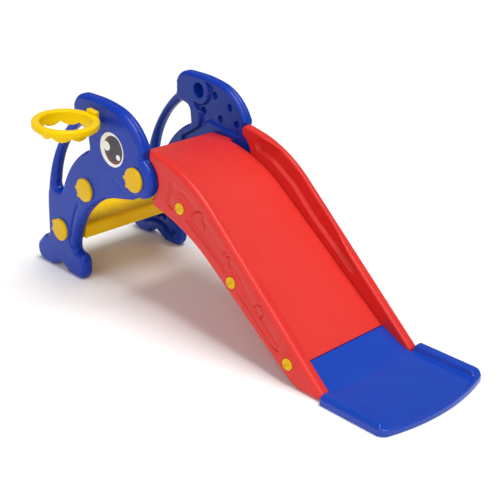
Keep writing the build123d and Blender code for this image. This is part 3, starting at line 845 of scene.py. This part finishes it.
def make_step(node, knob):
    (x_low, x_high), (y_low, y_high), (z_low, z_high) = (span(node, axis) for axis in (X, Y, Z))
    outline = np.array([(x_low, y_low), (x_high, y_low), (x_high, y_high), (x_low, y_high)])

    def edge(border):
        across = border.points[:, 1]
        at_end = (across < y_low + 0.5) | (across > y_high - 0.5)
        return np.where(at_end, STEP_END_ROUND, STEP_ROUND)

    def tread(points, depth, index, border):
        inside = smooth((depth - TREAD_FROM_EDGE) / TREAD_BANK)
        return z_high - rounded(depth, border.radius[index]) - TREAD_DEPTH * inside + pebbles(points) * inside

    def under(points, depth, index, border):
        height = z_low + rounded(depth, border.radius[index])
        along = HOLLOW_HALF_WIDTH - np.abs(points[:, 0] - (x_low + x_high) / 2)
        return height + hollows(points, (-100, 0, 100), HOLLOW_HALF_LENGTH, along, HOLLOW_DEPTH, HOLLOW_DEPTH)

    step = plate(f"{node}_plank", bordered([outline]), tread, under, edge, lying, fine=1.3,
                 seam=STEP_SEAM)
    bolt_x, _, bolt_z = knob_at[knob]
    for side, end in ((-1, y_low), (1, y_high)):
        hole = rod("socket", (bolt_x, end + side, bolt_z), end - side * SOCKET_DEPTH, SOCKET_RADIUS)
        combine(step, hole, "DIFFERENCE")
    finish_piece(step, "frame", "yellow_step", yellow_step, node)


make_step("lower_step", "hoop_side_low_knob")
make_step("upper_step", "hoop_side_middle_knob")

# ---- knobs and rail screws
KNOB_RADIUS, KNOB_SHANK, KNOB_DOME, KNOB_ROUND = 32.5, 11.0, 1.3, 2.4
LUG_FROM, LUG_EDGE, LUG_REACH = 33.5, 1.2, 0.5
RING_RADIUS, RING_DEPTH, RING_WIDTH = 25.5, 0.5, 1.3
SCREW_SHANK, SCREW_ROUND, SLOT_TURN = 3.5, 1.6, radians(35)
SLOT_HALF_LENGTH, SLOT_HALF_WIDTH, SCREW_SLOT_DEPTH = 10.5, 1.6, 2.0
SEAT_GAP = 0.3  # between the panel and what is fixed to it
HEAD_RINGS = (1.0, 0.97)  # a shank's wall runs between these two rings


def headed(name, loops, seat, crown, tip, shank, centre, face, edge_round, side, fine):
    """A flat head whose underside is at seat and highest at crown, on a plain shank that ends at tip."""

    def edge(border):
        return np.where(length(border.points - centre) > LUG_FROM, LUG_EDGE, edge_round)

    def top(points, depth, index, border):
        return crown - rounded(depth, border.radius[index]) - face(points - centre)

    def bottom(points, depth, index, border):
        out = length(points - centre)
        chamfer = 1.5 * np.clip((out - shank * 0.85) / (shank * 0.12), 0, 1)
        return np.where(out < shank * 0.985, tip + chamfer, seat + rounded(depth, 0.6))

    rings = [circle(centre, shank * share, 48) for share in (*HEAD_RINGS, 0.92, 0.85, 0.5)]
    return plate(name, loops, top, bottom, edge, upright(side), fine=fine, extra=rings, bend=0.01)


def lugs_drawn_out(loop, centre):
    """A knob's outline with its lugs reaching a little farther out."""
    away = loop - centre
    out = length(away)[:, None]
    return loop + LUG_REACH * away / out * smooth((out - LUG_FROM) / 1.5)


def knob_face(away):
    out = length(away)
    dome = KNOB_DOME * (np.minimum(out, KNOB_RADIUS) / KNOB_RADIUS) ** 2
    return dome + RING_DEPTH * np.exp(-(((out - RING_RADIUS) / RING_WIDTH) ** 2))


def screw_face(away):
    along = away[:, 0] * cos(SLOT_TURN) + away[:, 1] * sin(SLOT_TURN)
    across = away[:, 1] * cos(SLOT_TURN) - away[:, 0] * sin(SLOT_TURN)
    slot = np.minimum(SLOT_HALF_LENGTH - np.abs(along), SLOT_HALF_WIDTH - np.abs(across))
    return 0.5 * np.sum(away**2, 1) / 15.0**2 + SCREW_SLOT_DEPTH * smooth((slot + 0.25) / 0.6)


for side_name, side in (("hoop_side", -1), ("plain_side", 1)):
    for place in ("low", "middle", "snout"):
        node = f"{side_name}_{place}_knob"
        tip, crown = sorted(abs(v) for v in span(node, Y))
        centre = knob_at[node][[0, 2]]
        loops = bordered([lugs_drawn_out(section(node, Y, side * (crown - 4.5))[0], centre)], 1.5)
        knob = headed(f"{node}_cap", loops, panel_outer + SEAT_GAP, crown, tip, KNOB_SHANK, centre,
                      knob_face, KNOB_ROUND, side, fine=1.2)
        finish_piece(knob, node, "yellow_knob", yellow_knob, node)
    for place in ("upper", "middle", "lower"):
        node = f"{side_name}_rail_screw_{place}"
        tip, crown = sorted(abs(v) for v in span(node, Y))
        head = section(node, Y, side * (rail_outer + 1.0))[0]
        centre = (head.min(0) + head.max(0)) / 2
        radius = (head.max(0) - head.min(0)).mean() / 2
        screw = headed(f"{node}_head", [circle(centre, radius, 72)], rail_outer, crown, tip, SCREW_SHANK,
                       centre, screw_face, SCREW_ROUND, side, fine=0.6)
        finish_piece(screw, "frame", "yellow_knob", yellow_knob, node)

# ---- ball hoop
HOOP_TILT = radians(5.4)
RIM_INNER, RIM_OUTER, RIM_HEIGHT, RIM_ROUND = 64.6, 85.5, 18.0, 6.0
SKIRT_DEPTH, SKIRT_TOP, SKIRT_FOOT, SKIRT_WALL = 37.0, 65.1, 60.6, 4.0
LOBES, LOBE_RADIUS = 8, 36.5
BRACKET_WIDE, BRACKET_HIGH, BRACKET_DEEP, BRACKET_ROUND = 36.0, 33.0, 14.0, 2.5
HOOP_LIFT, BRACKET_DROP = 6.0, 7.0  # the rim's top over the peg, and the bracket's middle under it
PEG_RADIUS = 9.95
peg_at = np.array([joint["pos_m"] for joint in frame["joints"] if joint["name"] == "hoop_swivel"][0]) / MM
hoop_up = np.array([sin(HOOP_TILT), 0, cos(HOOP_TILT)])
hoop_right = np.array([cos(HOOP_TILT), 0, -sin(HOOP_TILT)])
hoop_centre = np.array([peg_at[0], span("ball_hoop", Y)[0] + RIM_OUTER, peg_at[2]]) + HOOP_LIFT * hoop_up


def arc(centre, radius, start, end, count=6):
    """Points along an arc between two angles in degrees."""
    turn = np.radians(np.linspace(start, end, count))
    return [(centre[0] + radius * cos(t), centre[1] + radius * sin(t)) for t in turn]


def skirt_radius(z):
    """Inner radius of the skirt at a height under the rim's top."""
    return SKIRT_TOP + (SKIRT_FOOT - SKIRT_TOP) * (-z - RIM_HEIGHT / 2) / (SKIRT_DEPTH - RIM_HEIGHT / 2)


def hoop_profile(depth):
    """The rim and skirt's closed section as (radius, height), the skirt reaching down to depth."""
    r = RIM_ROUND
    points = arc((RIM_INNER + r, -r), r, 180, 90) + arc((RIM_OUTER - r, -r), r, 90, 0)
    points += arc((RIM_OUTER - 3.0, -RIM_HEIGHT + 3.0), 3.0, 0, -90)
    outside = skirt_radius(-RIM_HEIGHT) + SKIRT_WALL
    points += [(outside + 3.0, -RIM_HEIGHT), (outside + 1.2, -RIM_HEIGHT - 0.4),
               (outside + 0.2, -RIM_HEIGHT - 1.6)]
    for share in (0.3, 0.6, 0.9):
        z = -RIM_HEIGHT - share * (depth - RIM_HEIGHT)
        points.append((skirt_radius(z) + SKIRT_WALL, z))
    points.append((skirt_radius(-depth) + SKIRT_WALL * 0.7, -depth + 0.1))
    points.append((skirt_radius(-depth) + SKIRT_WALL * 0.3, -depth + 0.1))
    for share in (0.9, 0.5, 0.1):
        z = -RIM_HEIGHT - share * (depth - RIM_HEIGHT)
        points.append((skirt_radius(z), z))
    points.append((skirt_radius(-RIM_HEIGHT * 0.75), -RIM_HEIGHT * 0.75))
    return points


def make_hoop():
    steps = 384
    points, rings = [], []
    for k in range(steps):
        turn = 2 * pi * k / steps
        apart = (turn + pi / LOBES) % (2 * pi / LOBES) - pi / LOBES
        depth = sqrt(LOBE_RADIUS**2 - (SKIRT_TOP * sin(apart)) ** 2)
        profile = hoop_profile(depth)
        outward = cos(turn) * hoop_right + sin(turn) * np.array([0, 1, 0])
        points += [hoop_centre + r * outward + z * hoop_up for r, z in profile]
        rings.append([len(profile) * k + j for j in range(len(profile))])
    faces = []
    for here, ahead in zip(rings, rings[1:] + rings[:1]):
        round_ahead, round_here = ahead[1:] + ahead[:1], here[1:] + here[:1]
        faces += [list(corners) for corners in zip(here, ahead, round_ahead, round_here)]
    hoop = mesh_piece("ball_hoop_ring", points, faces, 60)

    half, high = BRACKET_WIDE / 2, BRACKET_HIGH / 2
    r = BRACKET_ROUND
    outline = np.array(arc((half - r, high - r), r, 0, 90) + arc((r - half, high - r), r, 90, 180)
                       + arc((r - half, r - high), r, 180, 270) + arc((half - r, r - high), r, 270, 360))
    face_y = -panel_outer - SEAT_GAP
    layers = [(face_y, 1.0), (face_y - BRACKET_DEEP + 2.5, 1.0), (face_y - BRACKET_DEEP + 0.8, 0.96),
              (face_y - BRACKET_DEEP, 0.88)]
    middle = np.array([peg_at[0], 0, peg_at[2]]) + (HOOP_LIFT - BRACKET_DROP) * hoop_up
    points = [middle + share * u * hoop_right + share * v * hoop_up + np.array([0, y, 0])
              for y, share in layers for u, v in outline]
    count = len(outline)
    faces = [list(range(count)), list(range(3 * count, 4 * count))[::-1]]
    for layer in range(3):
        faces += [[layer * count + k, layer * count + (k + 1) % count, (layer + 1) * count + (k + 1) % count,
                   (layer + 1) * count + k] for k in range(count)]
    combine(hoop, mesh_piece("bracket", points, faces), "UNION")
    inner_end = span("ball_hoop", Y)[1]
    combine(hoop, rod("peg", (peg_at[0], face_y - 2, peg_at[2]), inner_end, PEG_RADIUS), "UNION")
    finish_piece(hoop, "hoop", "yellow_hoop", yellow_hoop, "ball_hoop")


make_hoop()
zinc = plastic("zinc", (0.55, 0.55, 0.57), (0.48, 0.48, 0.50), 0.35, ripple=0)
put(zinc.node_tree.nodes["Principled BSDF"], {"Metallic": 1.0})
for node, material in (("hoop_lock_nut", yellow_hoop), ("tray_screws", zinc)):
    for held in frame["nodes"][node].material_slots:
        held.material = material

# ---- eye stickers
# Ellipses as (offset from the sticker's centre, half width, half height, material): the white, the iris,
# the pupil and two glints.
EYE_SHAPES = [((0, 0), 48.5, 45.5, white_print), ((7, 1), 38.0, 37.5, brown_print),
              ((13, 5), 30.0, 33.0, dark_print), ((-21, 6), 14.5, 12.5, white_print),
              ((26, -15), 8.5, 7.5, white_print)]
STICKER_ROUND, STICKER_THICKNESS = 1.0, 0.5


def make_eye(node, side):
    (x_low, x_high), (z_low, z_high) = span(node, X), span(node, Z)
    face = max(abs(v) for v in span(node, Y))
    centre = np.array([(x_low + x_high) / 2, (z_low + z_high) / 2])
    ellipses = [centre + offset + circle((0, 0), 1, 96) * (wide, high)
                for offset, wide, high, _ in EYE_SHAPES]

    def front(points, depth, index, border):
        return face - 0.3 * np.exp(-np.maximum(depth, 0) / 0.6)

    def back(points, depth, index, border):
        return np.full(len(points), face - STICKER_THICKNESS)

    def edge(border):
        return np.full(len(border.points), STICKER_ROUND)

    sticker = plate(f"{node}_print", ellipses[:1], front, back, edge, upright(side), fine=3.0,
                    inlays=ellipses[1:])
    kinds = [white_print, brown_print, dark_print]
    for material in kinds:
        sticker.data.materials.append(material)
    for polygon in sticker.data.polygons:
        at = np.array([polygon.center.x, polygon.center.z]) / MM - centre
        for (dx, dz), wide, high, material in EYE_SHAPES:
            if ((at[0] - dx) / wide) ** 2 + ((at[1] - dz) / high) ** 2 < 1:
                polygon.material_index = kinds.index(material)
    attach(sticker, "frame")
    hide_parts(node)


make_eye("hoop_side_eye_sticker", -1)
make_eye("plain_side_eye_sticker", 1)

# ---- floor, light and camera
CAMERA_AT = (1.2713, -1.7149, 1.2891)
CAMERA_YAW, CAMERA_PITCH, CAMERA_ROLL = (radians(a) for a in (-46.165, -23.896, 0.382))
CAMERA_LENS = 76.43


def make_camera():
    forward = Vector((cos(CAMERA_PITCH) * sin(CAMERA_YAW),
                      cos(CAMERA_PITCH) * cos(CAMERA_YAW), sin(CAMERA_PITCH)))
    level = Vector((cos(CAMERA_YAW), -sin(CAMERA_YAW), 0))
    rise = level.cross(forward)
    right = cos(CAMERA_ROLL) * level + sin(CAMERA_ROLL) * rise
    up = -sin(CAMERA_ROLL) * level + cos(CAMERA_ROLL) * rise
    camera = added("camera", bpy.data.cameras.new("camera"))
    camera.data.lens, camera.data.sensor_width = CAMERA_LENS, 36
    turn = Matrix((right, up, -forward)).transposed().to_4x4()
    camera.matrix_world = Matrix.Translation(CAMERA_AT) @ turn
    bpy.context.scene.camera = camera


def make_floor():
    bpy.ops.mesh.primitive_plane_add(size=16, location=(-0.5, 0, 0))
    floor = bpy.context.object
    floor.name = "floor"
    paint = bpy.data.materials.new("floor")
    paint.use_nodes = True
    put(paint.node_tree.nodes["Principled BSDF"],
        {"Base Color": (0.93, 0.925, 0.92, 1), "Roughness": 0.9, "Specular IOR Level": 0.1})
    floor.data.materials.append(paint)


def make_sun(name, azimuth, elevation, softness, strength):
    """A soft distant light that comes from that compass angle (from +X towards +Y) and height, in degrees."""
    light = bpy.data.lights.new(name, "SUN")
    light.angle, light.energy = radians(softness), strength
    added(name, light).rotation_euler = (0, radians(90 - elevation), radians(azimuth))


def make_world(strength):
    """Even white surroundings that look pure white behind the floor."""
    world = bpy.data.worlds.new("world")
    bpy.context.scene.world = world
    world.use_nodes = True
    nodes, links = world.node_tree.nodes, world.node_tree.links
    path = nodes.new("ShaderNodeLightPath")
    level = nodes.new("ShaderNodeMapRange")
    put(level, {"To Min": strength, "To Max": 1.0})
    links.new(path.outputs["Is Camera Ray"], level.inputs["Value"])
    links.new(level.outputs["Result"], nodes["Background"].inputs["Strength"])
    put(nodes["Background"], {"Color": (1, 1, 1, 1)})


make_camera()
make_floor()
make_world(0.28)
make_sun("key", azimuth=18, elevation=74, softness=36, strength=2.35)
make_sun("fill", azimuth=-75, elevation=24, softness=70, strength=1.05)
make_sun("glint", azimuth=-10, elevation=48, softness=7, strength=0.4)
bpy.context.scene.view_settings.view_transform = "Standard"
